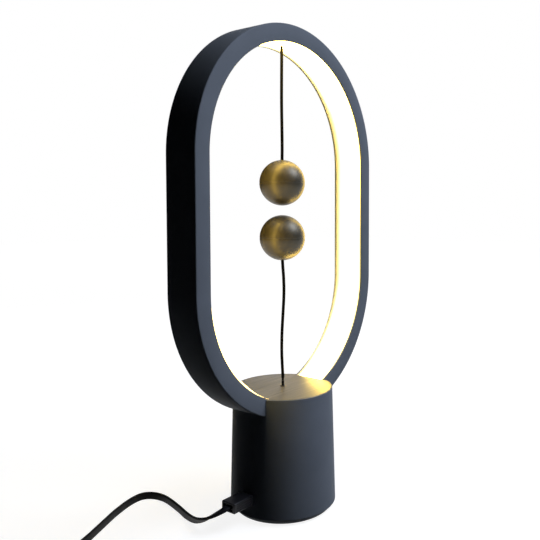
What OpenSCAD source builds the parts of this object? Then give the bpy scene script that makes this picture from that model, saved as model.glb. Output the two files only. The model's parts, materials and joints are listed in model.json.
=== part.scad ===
// Magnetic balance lamp, in millimetres, +Z up.
// The origin is the centre of the foot on the table and the front faces -Y.
// A lit oval ring stands in a drafted round base. One ball hangs from the top of the ring and
// one is tied to the base: their magnets hold them apart in the air by a few millimetres, and
// the pull on the lower cord works the switch inside the base.

/* [Ring] */
// Width of the ring over its outside
ring_w = 220; // [204:1:236]
// Height of the ring over its outside
ring_h = 320; // [305:1:345]
// Front to back depth of the ring
ring_depth = 31; // [28:0.5:34]
// Width of the ring's face, outside to inside
ring_band = 14; // [13:0.5:16]
// How far the ring's lowest point lies under the top of the base
ring_sink = 21; // [20:0.5:22]

/* [Base] */
// Height of the top of the base
base_h = 101; // [98:1:110]
// Diameter of the base at its foot, above the bevel
base_d = 89; // [88:0.5:94]
// Diameter of the base at its top
base_top_d = 84; // [83:0.5:88]
// Height and width of the bevel under the base
base_bevel = 4.4; // [3:0.1:5]

/* [Balls and cords] */
// Diameter of each ball
ball_d = 38; // [34:0.5:42]
// Open gap between the two balls
ball_gap = 8; // [6:0.5:12]
// Height of the middle of that gap over the top of the base
gap_rise = 149; // [140:1:160]
// Diameter of the two black cords
cord_d = 2.2; // [1.8:0.1:2.6]
// How far the lower cord pulls up out of the base
pull_travel = 4; // [3:0.1:4.2]

/* [Lead] */
// Width of the flat power lead
lead_w = 6.2; // [5:0.1:7]
// Thickness of the flat power lead
lead_t = 2.4; // [2:0.1:2.5]
// Width of the plug's grip
plug_w = 14; // [12:0.5:16]
// Length of the plug's grip
plug_l = 21.5; // [18:0.5:26]

/* [Hidden] */

// Steps of a full round: ring and base, balls, parts inside them, and everything small
big_fn = 72;
ball_fn = 48;
mid_fn = 32;
small_fn = 16;
// A cut runs this far past the face it opens
past = 1;

// The ring's centre lines and radii
ring_foot_z = base_h - ring_sink;
lamp_h = ring_foot_z + ring_h;
ring_r = ring_w / 2;
ring_in_r = ring_r - ring_band;
ring_low_z = ring_foot_z + ring_r;
ring_high_z = lamp_h - ring_r;
ring_half = ring_depth / 2;
ring_face_t = 1.2;
ring_wall_t = 1.6;
ring_fit = 0.15;
arm_end_x = 18;

// The white inner strip and the ribs that hold it
diffuser_t = 1.8;
diffuser_set_in = 0.3;
diffuser_out_r = ring_in_r + diffuser_set_in + diffuser_t;
rib_t = 1.2;
rib_h = 1.5;
rib_fit = 0.05;
hollow_half = ring_half - ring_face_t;

// Light strip on the inside of the ring's outer wall
strip_t = 0.6;
strip_w = 8;
strip_out_r = ring_r - ring_wall_t;
strip_in_r = strip_out_r - strip_t;
led_size = [3.5, 2.8, 0.7];
// Lights and resistors stand this far off the strip, so that their corners clear its curve
solder_gap = 0.03;
led_count = 44;
resistor_size = [3.2, 1.6, 0.6];
resistor_every = 4;
// The lights end this far from the middle, just above the base
led_first_x = 46;
led_low_angle = acos(led_first_x / strip_in_r);
led_low_run = strip_in_r * led_low_angle * PI / 180;
led_side_run = ring_high_z - ring_low_z;
led_top_run = strip_in_r * PI;
led_run = 2 * led_low_run + 2 * led_side_run + led_top_run;

// The cords and the points they bend about
cord_r = cord_d / 2;
cord_bore_r = cord_r + 0.3;
bend_gap = 0.02;
bend_reach = cord_r + bend_gap;
inner_top_z = lamp_h - ring_band;
upper_pivot_z = inner_top_z - cord_r - 0.1;
eyelet_h = 0.6;
eyelet_flare = 0.5;
lower_pivot_z = base_h + eyelet_h + 0.1 + cord_r + pull_travel;
anchor_w = 14;
anchor_h = 4;
anchor_z = lamp_h - ring_r + diffuser_out_r;
knot_r = 2.1;

// The balls: a cord half and a magnet half
ball_r = ball_d / 2;
ball_wall = 2.2;
ball_in_r = ball_r - ball_wall;
gap_z = base_h + gap_rise;
upper_ball_z = gap_z + ball_gap / 2 + ball_r;
lower_ball_z = gap_z - ball_gap / 2 - ball_r;
seam_w = 0.3;
tongue_h = 2;
tongue_t = 1;
tongue_r = ball_in_r - 0.3;
tongue_root = 5.5;
magnet_r = 7;
magnet_t = 5;
magnet_wall = 2;
magnet_far = sqrt(pow(ball_in_r, 2) - pow(magnet_r, 2));
ball_boss_r = 4;
ball_boss_t = 5;

// The base's wall, drawn from the bevel to the top
base_r = base_d / 2;
base_top_r = base_top_d / 2;
base_wall = 2.4;
base_lift = 0.6;
bevel_z = base_lift + base_bevel;
rim_t = 0.6;
disc_t = 1.8;
disc_seat_w = 2;
sill_t = 2;
plate_t = 2.5;
pad_t = 1.5;
pad_inset = 0.6;
plate_z = pad_t;
floor_z = plate_z + plate_t;
plate_r = base_r - base_bevel - 0.8;
window_z = 20;
// Window for the plug: depth through both sides of the wall's face, width and height
window_size = [10, 8.4, 3.8];

// The cradle that carries the ring's two arms
cradle_top_z = base_h - 30;
cradle_t = 5;
cradle_z = cradle_top_z - cradle_t;
cradle_half = ring_half - 0.3;
// Its corners stay this far inside the base's wall
cradle_fit = 1.3;
cradle_x = sqrt(pow(base_inner_r(cradle_top_z) - cradle_fit, 2) - pow(cradle_half, 2));
well_x = 13.5;
ledge_t = 6;
ledge_x = cradle_x - 9;
cradle_screw_x = cradle_x - 5;
cradle_screw_y = 9;
// How deep a cradle screw bites into the cradle
cradle_bite = 2 * cradle_t;
arm_screw_x = 23;
arm_screw_y = 10;
arm_screw_l = ring_foot_z - cradle_z + 8;
arm_block_x = 30;

// Screws: shank radius, head radius and head height
m3 = [1.2, 2.6, 1.6];
m2 = [0.8, 1.7, 1.2];

// The switch, hung under the cradle's middle
guide_x = 8;
guide_y = 9;
guide_wall = 1.8;
guide_top_z = base_h - 7;
guide_top_t = 2;
guide_ear_t = 2;
guide_ear_gap = 3.5;
switch_top_z = base_h - 34.5;
switch_h = 6.5;
switch_z = switch_top_z - switch_h;
guide_floor_t = 2.5;
guide_z = switch_z - guide_floor_t;
switch_x = 6.4;
switch_y = 2.9;
ear_fit = 0.2;
pin_x = 3.25;
pin_r = 0.9;
pin_rise = 1.6;
lever_pivot = [-5.5, switch_top_z + 0.8];
lever_t = 0.4;
lever_w = 4;
lever_l = 11.6;
lever_pin_r = 0.5;
lever_pin_fit = 0.06;
lever_ear = [1.9, 0.6, 1.8];
terminal_size = [0.6, 3];
terminal_fit = 0.4;
foot_x = 5;
// Angle that the lever's end stands up by when the cord is pulled
lever_angle = atan(pull_travel / (foot_x - lever_pivot[0]));
plunger_x = -1.5;
plunger_r = 0.9;
plunger_travel = 0.35 * pull_travel;
slider_x = 7;
slider_z = base_h - 27;
slider_h = 8;
foot_gap = 0.3;
foot_z = lever_pivot[1] + pull_travel + lever_t / 2 / cos(lever_angle) + foot_gap;
spring_z = slider_z + slider_h;
spring_top_z = guide_top_z - guide_top_t;
spring_r = 3.2;
spring_wire = 0.7;
spring_turns = 5;
terminal_x = [-5, 0, 5];
// How far the terminals stand out under the guide's floor
terminal_l = 4;

// The driver board on its four posts
board_t = 1.6;
board_top_z = window_z - 1.45;
board_z = board_top_z - board_t;
board_x = [3.2 - base_inner_r(window_z), 14];
board_half = 14;
board_tongue = [2.5, 5];
board_post_x = [board_x[0] + 4.5, board_x[1] - 4];
board_post_y = 10;
board_post_r = 2.5;
chip_size = [5, 4, 1.5];
chip_at = [board_x[0] + 18.5, -2];
driver_coil_r = 3.2;
driver_coil_h = 3;
driver_coil_at = [board_x[0] + 13.5, 8.5];
capacitor_r = 2.6;
capacitor_h = 5.4;
capacitors_at = [[board_x[0] + 15.5, -9], [board_x[0] + 23.5, -9]];

// Bosses for the plate's screws, and the iron weight between them
boss_r = 3.4;
boss_h = 18;
boss_web_t = 2;
boss_web_rise = 5;
plate_screw_r = plate_r - boss_r - 0.3;
plate_screw_angles = [35, 145, 215, 325];
plate_screw_l = 12;
ballast_r = plate_screw_r - boss_r - 4.2;
ballast_h = 9;
post_clear = 0.7;

// Socket and plug of the small connector, tip first
socket_size = [5.6, 7.6, 2 * (window_z - board_top_z)];
socket_wall = 0.3;
socket_back_t = 0.4;
socket_back_x = socket_size[0] + 2 - base_r;
socket_z = window_z;
tongue_size = [4.6, 3.7, 0.6];
plug_shell_size = [6.5, 6.8, 2.1];
plug_shell_wall = 0.25;
plug_shell_back_t = 0.5;
plug_h = 8;
plug_x = -base_r + 0.1;
plug_back_x = plug_x - plug_l;
plug_ribs = 4;
plug_rib_d = 0.5;
plug_recess = 1.6;
plug_recess_rim = [1.8, 1.2];

// Middle of the lead from the plug to the coil: x, y, z and the turn of its wide side in degrees
lead_points = [
    [plug_back_x + plug_recess, 0, 20, 0], [plug_back_x - 1, 0, 20, 0],
    [plug_back_x - 5, 1.5, 18.5, 0], [plug_back_x - 8.5, 6, 15.5, 0],
    [plug_back_x - 10.5, 13, 11.5, 15], [plug_back_x - 10, 22, 7.5, 45], [-73.5, 32, 4.5, 75],
    [-70, 44, 3.2, 90],
    [-66.5, 55, 3.1, 90], [-62.5, 70, 3.1, 90], [-60.5, 81, 3.1, 90], [-61, 90, 3.1, 90],
    [-64, 97, 3.1, 90], [-69.5, 101, 3.1, 90], [-77.5, 101, 3.1, 90], [-87.5, 98.5, 3.1, 90],
    [-95.5, 95.5, 3.1, 90], [-104, 92, 3.1, 90], [-115, 86.5, 3.1, 90], [-128, 80, 3.1, 90],
    [-139, 74.5, 3.1, 90], [-152, 69, 3.1, 90], [-166, 63.5, 3.1, 90], [-181, 57.5, 3.1, 90]
];

// The rolled part of the lead: folded at its middle, both halves wound side by side on edge
coil_centre = [-181, 15];
coil_in_r = 25;
coil_turns = 2.25;
coil_pitch = 2 * (lead_t + 0.5);
coil_out_r = coil_in_r + coil_pitch * coil_turns;
coil_start = 113;
coil_end = coil_start + 360 * coil_turns;
coil_step = 15;
coil_z = lead_w / 2 + 0.5;

tie_t = 0.4;
tie_w = 5;

// The computer end of the lead
usb_a_grip_size = [24, 16, 8];
usb_a_shell_size = [12.5, 12, 4.5];
usb_a_wall = 0.4;
usb_a_back_t = 0.5;
usb_a_tongue_t = 1.9;
// Square holes in the sleeve: their size, and how far along and how far aside they lie
usb_a_hole = 2.2;
usb_a_hole_at = [6.1, 3];
// Grip notches of the computer plug: first place, pitch, width and depth
usb_a_notch_x = 5;
usb_a_notch_pitch = 3.5;
usb_a_notch_w = 1.6;
usb_a_notch_d = 0.5;
usb_a_turn = 203;
usb_a_back = [-225, -42];

// Sides of the lead's section and of the round wires
wire_sides = 8;
wire_r = 0.6;

function unit(v) = v / norm(v);

// Point at t (0 to 1) between b and c of a smooth curve through a, b, c and d
function curve(a, b, c, d, t) =
    0.5 * (2 * b + (c - a) * t + (2 * a - 5 * b + 4 * c - d) * t * t
        + (3 * b - 3 * c + d - a) * t * t * t);

function smooth(points, steps) =
    let (last = len(points) - 1)
    [
        for (i = [0 : last - 1], k = [0 : steps - 1])
            curve(points[max(i - 1, 0)], points[i], points[i + 1], points[min(i + 2, last)], k / steps),
        points[last]
    ];

function travel(points) =
    let (last = len(points) - 1)
    [for (i = [0 : last]) unit(points[min(i + 1, last)] - points[max(i - 1, 0)])];

function length_of(points, i = 1) =
    i >= len(points) ? 0 : norm(points[i] - points[i - 1]) + length_of(points, i + 1);

function xyz(p) = [p[0], p[1], p[2]];

// One flat section of the lead: centre, way it runs, and the turn of its wide side
function flat_section(centre, way, turn) =
    let (
        level = unit(cross([0, 0, 1], way)),
        up = cross(way, level),
        wide = cos(turn) * level + sin(turn) * up,
        thin = cross(way, wide),
        w = lead_w / 2,
        t = lead_t / 2,
        corner = w - t * 0.6
    )
    [
        for (s = [[w, 0.4 * t], [corner, t], [-corner, t], [-w, 0.4 * t],
                [-w, -0.4 * t], [-corner, -t], [corner, -t], [w, -0.4 * t]])
            centre + s[0] * wide + s[1] * thin
    ];

// One round section of radius r
function round_section(centre, way, r, sides) =
    let (
        aside = unit(cross(abs(way[1]) < 0.8 ? [0, 1, 0] : [1, 0, 0], way)),
        up = cross(way, aside)
    )
    [for (k = [0 : sides - 1]) centre + r * (cos(360 * k / sides) * aside + sin(360 * k / sides) * up)];

// Skin over a row of sections that have the same number of corners
module skin_over(sections) {
    n = len(sections[0]);
    m = len(sections);
    corners = [for (s = sections, p = s) p];
    sides = [
        for (i = [0 : m - 2], k = [0 : n - 1])
            let (a = i * n + k, b = i * n + (k + 1) % n)
                each [[a, a + n, b + n], [a, b + n, b]]
    ];
    ends = [[for (k = [0 : n - 1]) k], [for (k = [n - 1 : -1 : 0]) (m - 1) * n + k]];
    polyhedron(points = corners, faces = concat(ends, sides), convexity = 10);
}

module round_wire(points, r, steps, sides) {
    path = smooth(points, steps);
    ways = travel(path);
    skin_over([for (i = [0 : len(path) - 1]) round_section(path[i], ways[i], r, sides)]);
}

// Small upright round bar or bore
module rod(r, h) {
    cylinder(r = r, h = h, $fn = small_fn);
}

// ---- Ring ----

// Filled outline of the ring at one radius, drawn with x across and y as height
module oval(r) {
    translate([0, ring_low_z]) circle(r, $fn = big_fn);
    translate([0, ring_high_z]) circle(r, $fn = big_fn);
    translate([-r, ring_low_z]) square([2 * r, ring_high_z - ring_low_z]);
}

module oval_band(out_r, in_r) {
    difference() {
        oval(out_r);
        oval(in_r);
    }
}

// The same band with its foot cut open between the two arms
module open_band(out_r, in_r) {
    difference() {
        oval_band(out_r, in_r);
        translate([-arm_end_x, ring_foot_z - past])
            square([2 * arm_end_x, ring_band + 4]);
    }
}

// Stands a drawing upright, from y = front to y = back
module upright(front, back) {
    translate([0, back, 0]) rotate([90, 0, 0]) linear_extrude(back - front) children();
}

// Space that the ring takes up, for the notches in the base
module ring_space() {
    upright(-ring_half - ring_fit, ring_half + ring_fit)
        oval_band(ring_r + ring_fit, ring_in_r - ring_fit);
}

module ring_shell() {
    color("dimgray") difference() {
        union() {
            upright(-ring_half, -hollow_half) open_band(ring_r, ring_in_r);
            upright(-hollow_half, hollow_half) open_band(ring_r, strip_out_r);
            upright(-hollow_half, rib_h - hollow_half)
                open_band(diffuser_out_r + rib_t, diffuser_out_r);
        }
        arm_screw_bores();
    }
}

module ring_back_cover() {
    color("dimgray") {
        upright(hollow_half, ring_half) open_band(ring_r, ring_in_r);
        upright(hollow_half - rib_h, hollow_half)
            open_band(diffuser_out_r + rib_t, diffuser_out_r);
    }
}

module diffuser() {
    color("ivory") difference() {
        upright(-hollow_half, hollow_half)
            open_band(diffuser_out_r, diffuser_out_r - diffuser_t);
        translate([0, 0, inner_top_z - past])
            rod(cord_bore_r, diffuser_t + 2 * past);
    }
}

module led_strip() {
    color("white") upright(-strip_w / 2, strip_w / 2) open_band(strip_out_r, strip_in_r);
}

// x, z and turn of a light that lies a given way along the strip, from the left foot round
function along_strip(run) =
    run < led_low_run
        ? on_arc(ring_low_z, 180 + led_low_angle - run / strip_in_r * 180 / PI)
    : run < led_low_run + led_side_run
        ? [-strip_in_r, ring_low_z + run - led_low_run, 180]
    : run < led_low_run + led_side_run + led_top_run
        ? on_arc(ring_high_z, 180 - (run - led_low_run - led_side_run) / strip_in_r * 180 / PI)
    : run < led_low_run + 2 * led_side_run + led_top_run
        ? [strip_in_r, ring_high_z - (run - led_low_run - led_side_run - led_top_run), 0]
        : on_arc(ring_low_z, -(run - led_low_run - 2 * led_side_run - led_top_run) / strip_in_r * 180 / PI);

function on_arc(centre_z, angle) =
    [strip_in_r * cos(angle), centre_z + strip_in_r * sin(angle), angle];

// Lays a small block of size [along, across, tall] on the strip's inner face
module on_strip(run, size) {
    place = along_strip(run);
    translate([place[0], 0, place[1]]) rotate([0, -place[2], 0])
        translate([-size[2] / 2 - solder_gap, 0, 0])
            cube([size[2], size[1], size[0]], center = true);
}

module leds() {
    color("lightyellow")
        for (i = [0 : led_count - 1]) on_strip((i + 0.5) * led_run / led_count, led_size);
}

module strip_resistors() {
    color("black")
        for (i = [resistor_every : resistor_every : led_count - 1])
            if (i != led_count / 2) on_strip(i * led_run / led_count, resistor_size);
}

// ---- Upper cord's anchor inside the top of the ring ----

module anchor_block() {
    color("gray") difference() {
        translate([-anchor_w / 2, -hollow_half, anchor_z - anchor_h])
            cube([anchor_w, 2 * hollow_half, 2 * anchor_h]);
        // the block's underside is shaped to the strip, in fine steps
        upright(-ring_half, ring_half)
            translate([0, ring_high_z]) circle(diffuser_out_r, $fn = 4 * big_fn);
        // a notch for each rib of the ring
        for (side = [-1, 1])
            translate([0, side * (hollow_half - rib_h / 2), anchor_z])
                cube([2 * anchor_w, rib_h + 2 * rib_fit, 2 * (rib_t + 6 * rib_fit)], center = true);
        translate([0, 0, anchor_z - past])
            rod(cord_bore_r, anchor_h + 2 * past);
    }
}

module upper_cord_root() {
    low_z = upper_pivot_z + bend_reach;
    knot_z = anchor_z + anchor_h + knot_r;
    color("black") {
        translate([0, 0, low_z]) rod(cord_r, knot_z - low_z);
        translate([0, 0, knot_z]) sphere(knot_r, $fn = small_fn);
    }
}

// ---- Ring arms in the base ----

module arm_blocks() {
    color("gray") difference() {
        intersection() {
            upright(0.3 - hollow_half, hollow_half - 0.3)
                oval_band(strip_in_r - 0.2, diffuser_out_r + rib_t + 0.1);
            for (side = [-1, 1])
                translate([side * (arm_end_x + arm_block_x) / 2 + side * 0.25, 0, ring_foot_z + ring_band])
                    cube([arm_block_x - arm_end_x - 0.5, ring_depth, 3 * ring_band], center = true);
        }
        // channel for the light strip's two wires
        upright(-3.2, 3.2) oval_band(ring_r, strip_in_r - 2.2);
        arm_screw_bores();
    }
}

module arm_screw_bores() {
    for (x = [-arm_screw_x, arm_screw_x], y = [-arm_screw_y, arm_screw_y])
        translate([x, y, cradle_z - past]) rod(m3[0], past + arm_screw_l + 3);
}

module arm_screws() {
    color("silver")
        for (x = [-arm_screw_x, arm_screw_x], y = [-arm_screw_y, arm_screw_y])
            translate([x, y, cradle_z]) screw(m3, arm_screw_l);
}

// Screw that points up, its head's flat face at z = 0
module screw(size, length) {
    rod(size[1], size[2]);
    rod(size[0], length);
}

module ring_cradle() {
    color("gray") difference() {
        union() {
            translate([-cradle_x, -cradle_half, cradle_z])
                cube([2 * cradle_x, 2 * cradle_half, cradle_t]);
            for (side = [-1, 1])
                translate([side > 0 ? well_x : -cradle_x, -cradle_half, cradle_z])
                    cube([cradle_x - well_x, 2 * cradle_half, ring_sink + cradle_t + 4]);
        }
        upright(-ring_half - past, ring_half + past) oval(ring_r);
        translate([-guide_x - 0.4, -guide_y - 0.4, cradle_z - past])
            cube([2 * guide_x + 0.8, 2 * guide_y + 0.8, cradle_t + 2 * past]);
        translate([0, 1 - guide_ear_gap, cradle_z - past])
            cube([well_x, 2 * guide_ear_gap - 2, cradle_t + 2 * past]);
        arm_screw_bores();
        for (x = [-arm_screw_x, arm_screw_x], y = [-arm_screw_y, arm_screw_y])
            translate([x, y, cradle_z - past]) rod(m3[1] + 0.2, past + m3[2]);
        for (x = [-cradle_screw_x, cradle_screw_x], y = [-cradle_screw_y, cradle_screw_y])
            translate([x, y, cradle_z - past]) rod(m3[0], cradle_bite + past);
        for (x = [-1, 1], y = [-1, 1])
            translate([x * ear_screw_x(), y * ear_screw_y(), cradle_z - past])
                rod(m2[0], cradle_t + 2 * past);
    }
}

function ear_screw_x() = (guide_x + well_x) / 2 + 0.3;
function ear_screw_y() = (guide_ear_gap + guide_y) / 2;

module cradle_screws() {
    color("silver")
        for (x = [-cradle_screw_x, cradle_screw_x], y = [-cradle_screw_y, cradle_screw_y])
            translate([x, y, cradle_z - ledge_t - m3[2]]) screw(m3, m3[2] + ledge_t + cradle_bite - 0.5);
}

// ---- Base ----

// Inner radius of the base's wall at a height
function base_inner_r(z) =
    base_r - base_wall - (base_r - base_top_r) * (z - bevel_z) / (base_h - bevel_z);

module base_housing() {
    color("dimgray") difference() {
        union() {
            rotate_extrude($fn = big_fn) polygon([
                [base_r - base_bevel, base_lift],
                [base_r, bevel_z],
                [base_top_r, base_h - 0.2],
                [base_top_r - rim_t, base_h - 0.2],
                [base_top_r - rim_t, base_h - disc_t],
                [base_top_r - rim_t - disc_seat_w, base_h - disc_t],
                [base_top_r - rim_t - disc_seat_w, base_h - disc_t - sill_t],
                [base_inner_r(base_h - disc_t - sill_t - 1), base_h - disc_t - sill_t - 1],
                [base_inner_r(floor_z + 3), floor_z + 3],
                [plate_r + 0.2, floor_z],
                [plate_r + 0.2, base_lift]
            ]);
            cradle_ledges();
            plate_bosses();
        }
        ring_space();
        translate([-base_r, 0, window_z]) cube(window_size, center = true);
        for (x = [-cradle_screw_x, cradle_screw_x], y = [-cradle_screw_y, cradle_screw_y])
            translate([x, y, cradle_z - ledge_t - past]) rod(m3[0], ledge_t + 2 * past);
        for (a = plate_screw_angles)
            rotate(a) translate([plate_screw_r, 0, floor_z - past])
                rod(m3[0], plate_screw_l);
    }
}

module cradle_ledges() {
    intersection() {
        for (side = [-1, 1])
            translate([side > 0 ? ledge_x : -base_r, -cradle_half, cradle_z - ledge_t])
                cube([base_r - ledge_x, 2 * cradle_half, ledge_t]);
        cylinder(r = base_inner_r(cradle_z) + base_wall / 2, h = base_h, $fn = big_fn);
    }
}

module plate_bosses() {
    for (a = plate_screw_angles) rotate(a) {
        translate([plate_screw_r, 0, floor_z]) rod(boss_r, boss_h);
        translate([plate_screw_r, -boss_web_t / 2, floor_z + boss_web_rise])
            cube([base_inner_r(0) + base_wall / 2 - plate_screw_r, boss_web_t, boss_h - boss_web_rise]);
    }
}

module top_disc() {
    color("rosybrown") difference() {
        translate([0, 0, base_h - disc_t])
            cylinder(r = base_top_r - rim_t - 0.05, h = disc_t, $fn = big_fn);
        ring_space();
        translate([0, 0, base_h - disc_t - past]) rod(eyelet_r(), disc_t + 2 * past);
    }
}

function eyelet_r() = cord_bore_r + 0.6;

module cord_eyelet() {
    color("black") difference() {
        union() {
            translate([0, 0, base_h - disc_t]) rod(eyelet_r(), disc_t + eyelet_h / 2);
            translate([0, 0, base_h])
                cylinder(r1 = eyelet_r() + eyelet_flare, r2 = eyelet_r(), h = eyelet_h, $fn = small_fn);
        }
        translate([0, 0, base_h - disc_t - past])
            rod(cord_bore_r, disc_t + eyelet_h + 2 * past);
    }
}

module base_plate() {
    color("gray") difference() {
        union() {
            translate([0, 0, plate_z]) cylinder(r = plate_r, h = plate_t, $fn = big_fn);
            for (x = board_post_x, y = [-board_post_y, board_post_y])
                translate([x, y, floor_z]) rod(board_post_r, board_z - floor_z);
        }
        for (a = plate_screw_angles) rotate(a) translate([plate_screw_r, 0, plate_z - past]) {
            rod(m3[0], plate_t + 2 * past);
            rod(m3[1] + 0.2, past + m3[2]);
        }
        for (x = board_post_x, y = [-board_post_y, board_post_y])
            translate([x, y, board_z - 6]) rod(m2[0], 6 + past);
    }
}

module plate_screws() {
    color("silver")
        for (a = plate_screw_angles)
            rotate(a) translate([plate_screw_r, 0, plate_z]) screw(m3, plate_screw_l);
}

module foot_pad() {
    color("black") cylinder(r = plate_r - pad_inset, h = pad_t, $fn = 2 * mid_fn);
}

module ballast() {
    color("slategray") difference() {
        translate([0, 0, floor_z]) cylinder(r = ballast_r, h = ballast_h, $fn = mid_fn);
        for (y = [-board_post_y, board_post_y])
            translate([board_post_x[1], y, floor_z - past])
                rod(board_post_r + post_clear, ballast_h + 2 * past);
    }
}

// ---- Driver board ----

// Metal sleeve of a plug, closed at x = 0 and open at its +X end, its middle on the X axis
module sleeve(size, wall, back_t) {
    translate([0, -size[1] / 2, -size[2] / 2]) difference() {
        cube(size);
        translate([back_t, wall, wall]) cube([size[0], size[1] - 2 * wall, size[2] - 2 * wall]);
    }
}

module driver_board() {
    color("green") difference() {
        union() {
            translate([board_x[0], -board_half, board_z])
                cube([board_x[1] - board_x[0], 2 * board_half, board_t]);
            translate([board_x[0] - board_tongue[0], -board_tongue[1], board_z])
                cube([board_tongue[0] + past, 2 * board_tongue[1], board_t]);
        }
        for (x = board_post_x, y = [-board_post_y, board_post_y])
            translate([x, y, board_z - past]) rod(m2[0] + 0.1, board_t + 2 * past);
    }
}

module driver_chip() {
    color("black") translate([chip_at[0], chip_at[1], board_top_z]) cube(chip_size);
}

module driver_coil() {
    color("darkslategray")
        translate([driver_coil_at[0], driver_coil_at[1], board_top_z])
            rod(driver_coil_r, driver_coil_h);
}

module capacitors() {
    color("silver")
        for (p = capacitors_at)
            translate([p[0], p[1], board_top_z]) rod(capacitor_r, capacitor_h);
}

module board_screws() {
    color("silver")
        for (x = board_post_x, y = [-board_post_y, board_post_y])
            translate([x, y, board_top_z + m2[2]]) rotate([180, 0, 0]) screw(m2, m2[2] + board_t + 5);
}

module usb_socket() {
    color("silver")
        translate([socket_back_x, 0, socket_z]) rotate(180) sleeve(socket_size, socket_wall, socket_back_t);
}

module usb_socket_tongue() {
    color("black")
        translate([socket_back_x - socket_back_t - tongue_size[0] / 2, 0, socket_z])
            cube(tongue_size, center = true);
}

// ---- Wires inside ----

led_wire_path = [
    [arm_end_x + 3, 1.8, base_h - 16], [arm_end_x - 2.5, 1.8, base_h - 16.4],
    [11.2, 1.5, base_h - 22], [11.2, 1.5, base_h - 36], [11.5, 3, 48], [9, 4.5, 30],
    [6, 4.5, 24], [6, 4.5, board_top_z + 0.1]
];

module led_wire_red() {
    color("red") round_wire(led_wire_path, wire_r, 4, wire_sides);
}

module led_wire_black() {
    color("black") round_wire([for (p = led_wire_path) [p[0], -p[1], p[2]]], wire_r, 4, wire_sides);
}

module switch_wire_white() {
    color("white")
        round_wire([
            [terminal_x[0] - 0.95, 0, guide_z - 2], [terminal_x[0] - 1, 0.6, guide_z - 7], [-8, 4, 38],
            [-9, 5, 27], [-9, 5, board_top_z + 0.1]
        ], wire_r, 4, wire_sides);
}

module switch_wire_blue() {
    color("royalblue")
        round_wire([
            [terminal_x[2] + 0.95, 0, guide_z - 2], [terminal_x[2] + 0.8, -0.6, guide_z - 7], [1, -4, 38],
            [-5, -6, 27], [-5, -6, board_top_z + 0.1]
        ], wire_r, 4, wire_sides);
}

// ---- Switch ----

module switch_guide() {
    color("lightgray") difference() {
        union() {
            for (side = [-1, 1])
                translate([-guide_x, side > 0 ? guide_y - guide_wall : -guide_y, guide_z])
                    cube([2 * guide_x, guide_wall, guide_top_z - guide_z]);
            translate([-guide_x, -guide_y, spring_top_z]) cube([2 * guide_x, 2 * guide_y, guide_top_t]);
            translate([-guide_x, -guide_y, guide_z]) cube([2 * guide_x, 2 * guide_y, guide_floor_t]);
            for (x = [0, 1], y = [0, 1]) mirror([x, 0, 0]) mirror([0, y, 0]) guide_ear();
        }
        translate([0, 0, spring_top_z - past])
            rod(cord_bore_r + 0.1, guide_top_t + 2 * past);
        for (x = terminal_x)
            translate([x, 0, guide_z + guide_floor_t / 2]) cube([
                terminal_size[0] + terminal_fit, terminal_size[1] + terminal_fit, guide_floor_t + 2 * past
            ], center = true);
        switch_cross_pins(past);
        for (x = [-1, 1], y = [-1, 1])
            translate([x * ear_screw_x(), y * ear_screw_y(), cradle_top_z - past])
                rod(m2[0], guide_ear_t + 2 * past);
    }
}

// One ear, which stops at the wall it grows from
module guide_ear() {
    ear_y = guide_y - guide_ear_gap;
    translate([guide_x, guide_ear_gap, cradle_top_z]) cube([well_x - ear_fit - guide_x, ear_y, guide_ear_t]);
    translate([guide_x - past, guide_y - guide_wall, cradle_top_z]) cube([2 * past, guide_wall, guide_ear_t]);
}

// The two cross pins, or their bores, as long as the guide is deep and a little more
module switch_cross_pins(extra) {
    for (x = [-pin_x, pin_x])
        translate([x, guide_y + extra, switch_z + pin_rise]) rotate([90, 0, 0])
            rod(pin_r, 2 * guide_y + 2 * extra);
}

module switch_pins() {
    color("silver") switch_cross_pins(0);
}

module guide_screws() {
    color("silver")
        for (x = [-1, 1], y = [-1, 1])
            translate([x * ear_screw_x(), y * ear_screw_y(), cradle_top_z + guide_ear_t + m2[2]])
                rotate([180, 0, 0]) screw(m2, m2[2] + guide_ear_t + cradle_t - 0.5);
}

module switch_body() {
    color("black") difference() {
        translate([-switch_x, -switch_y, switch_z]) cube([2 * switch_x, 2 * switch_y, switch_h]);
        switch_cross_pins(past);
        translate([plunger_x, 0, switch_top_z - 4])
            rod(plunger_r + 0.3, 4 + past);
    }
    // two ears that hold the lever's pin
    color("black") for (side = [-1, 1]) difference() {
        translate([lever_pivot[0], side * (switch_y - lever_ear[1] / 2), switch_top_z + lever_ear[2] / 2])
            cube(lever_ear, center = true);
        translate([lever_pivot[0], switch_y + past, lever_pivot[1]]) rotate([90, 0, 0])
            rod(lever_pin_r + lever_pin_fit, 2 * switch_y + 2 * past);
    }
}

module switch_terminals() {
    color("gold")
        for (x = terminal_x)
            translate([x - terminal_size[0] / 2, -terminal_size[1] / 2, guide_z - terminal_l])
                cube([terminal_size[0], terminal_size[1], guide_floor_t + terminal_l]);
}

module switch_lever() {
    color("silver")
        translate([lever_pivot[0], -lever_w / 2, lever_pivot[1]]) rotate([0, -lever_angle, 0])
            translate([0, 0, -lever_t / 2]) {
                cube([lever_l, lever_w, lever_t]);
                translate([0, lever_w / 2 - switch_y + 0.1, lever_t / 2]) rotate([-90, 0, 0])
                    rod(lever_pin_r, 2 * switch_y - 0.2);
            }
}

module switch_plunger() {
    lever_under = (plunger_x - lever_pivot[0]) * tan(lever_angle) - lever_t / 2 / cos(lever_angle);
    // the near edge of its flat top stays clear of the slanting lever
    top = lever_pivot[1] + lever_under - plunger_r * tan(lever_angle) - 0.3;
    color("firebrick")
        translate([plunger_x, 0, switch_top_z - 4 + plunger_travel + 0.3])
            rod(plunger_r, top - (switch_top_z - 4 + plunger_travel + 0.3));
}

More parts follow.
